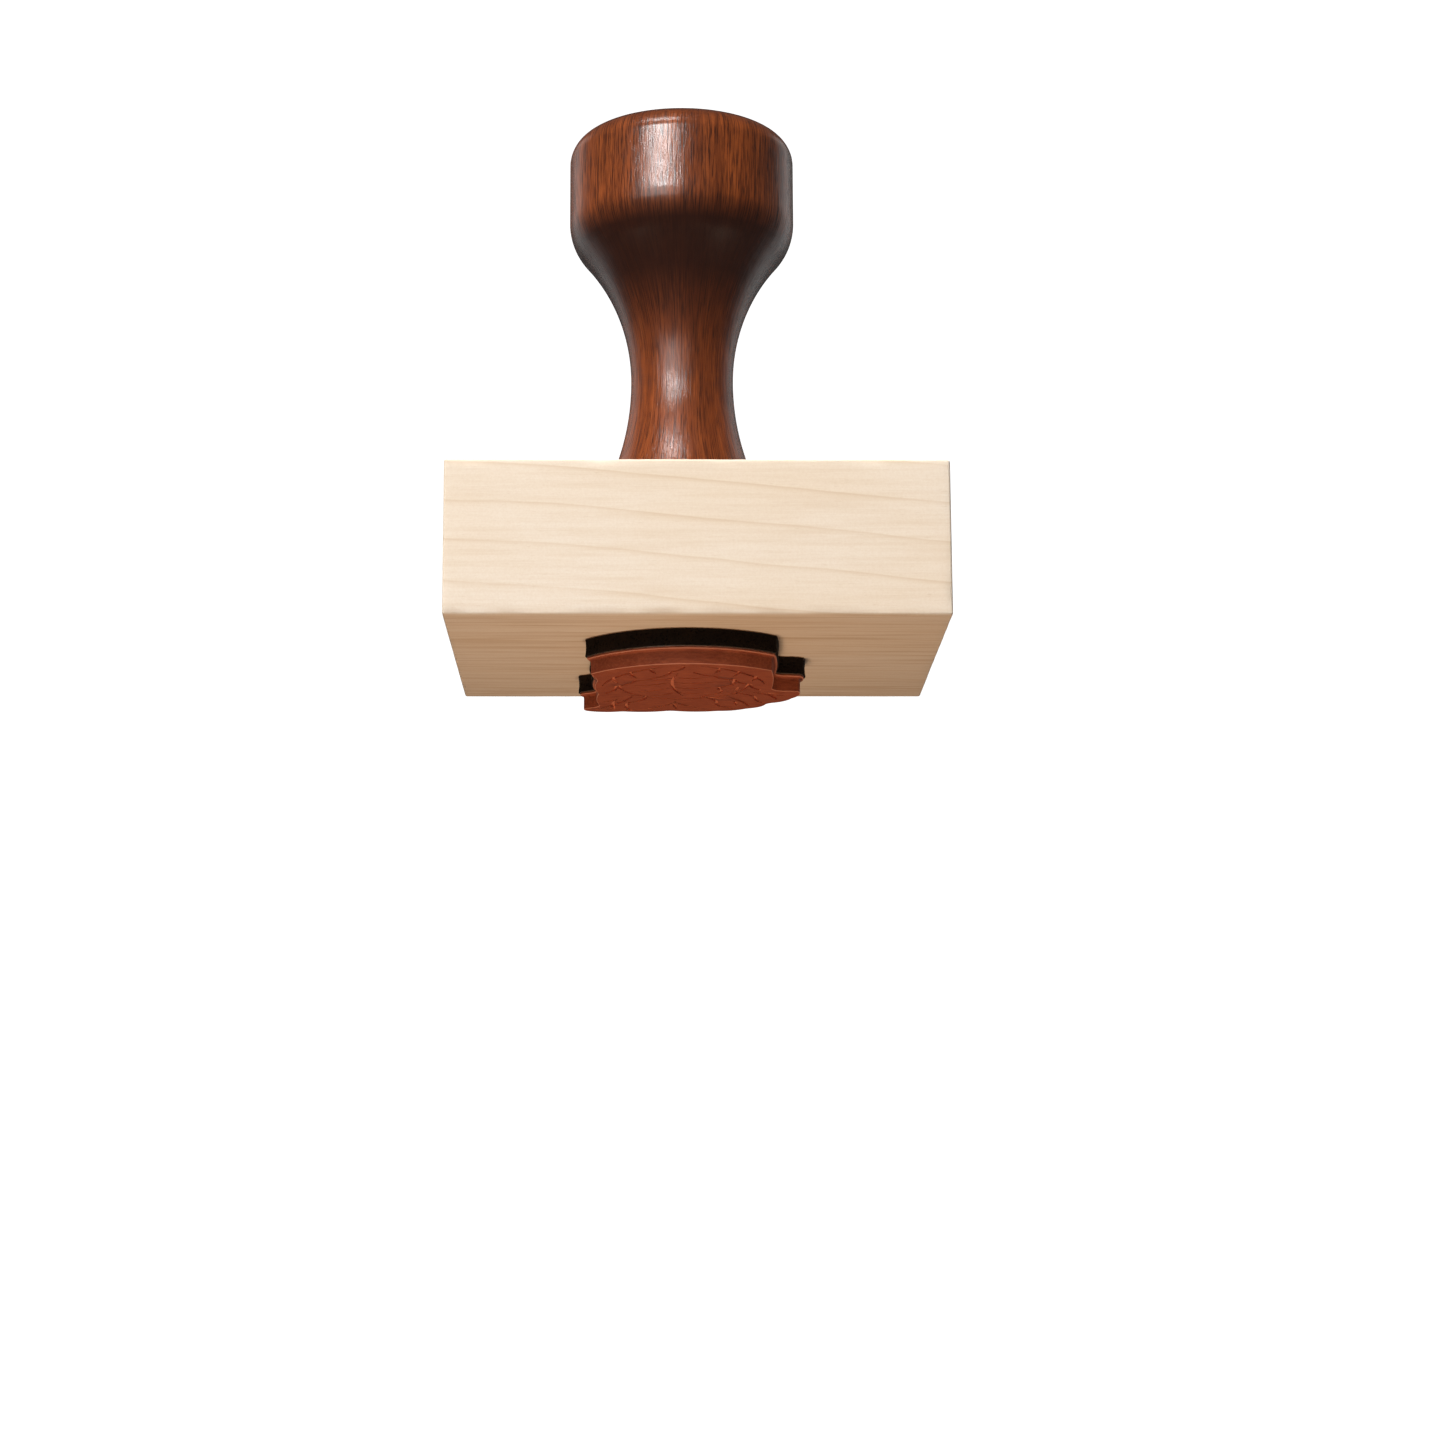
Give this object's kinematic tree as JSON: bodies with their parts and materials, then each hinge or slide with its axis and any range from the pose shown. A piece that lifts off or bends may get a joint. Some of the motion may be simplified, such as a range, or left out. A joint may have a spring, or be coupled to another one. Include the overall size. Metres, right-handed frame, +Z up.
{
  "type": "rubber stamp",
  "caption": "Hand rubber stamp: a turned hardwood handle with a round knob on a maple block, over a foam-cushioned engraved rubber die that gives a little when pressed.",
  "frame": {"origin": "under the middle of the block, on the plane that the printing face rests on", "axes": "+Z up along the handle, +X to the right and +Y to the back as the stamp is held; the block's long side is along X"},
  "size_m": [0.065, 0.05, 0.0796],
  "materials": {
    "stained_hardwood": "dark red-brown stain under gloss varnish",
    "screw_steel": "zinc plated",
    "maple": "sanded, bare",
    "adhesive": "clear, tacky",
    "sponge_rubber": "matt, fine cells",
    "die_rubber": "matt, moulded"
  },
  "bodies": {
    "die": {"rubber_die": "die_rubber", "die_adhesive_film": "adhesive", "foam_cushion": "sponge_rubber"},
    "mount": {"block_adhesive_film": "adhesive", "mount_block": "maple", "handle_dowel_screw": "screw_steel", "handle": "stained_hardwood"}
  },
  "joints": [
    {"name": "cushion_press", "type": "slide", "parent": "die", "child": "mount", "axis": [0, 0, -1], "range_m": [0, 0.0008], "stiffness_N_per_m": 45000, "deforming": ["foam_cushion"]}
  ]
}
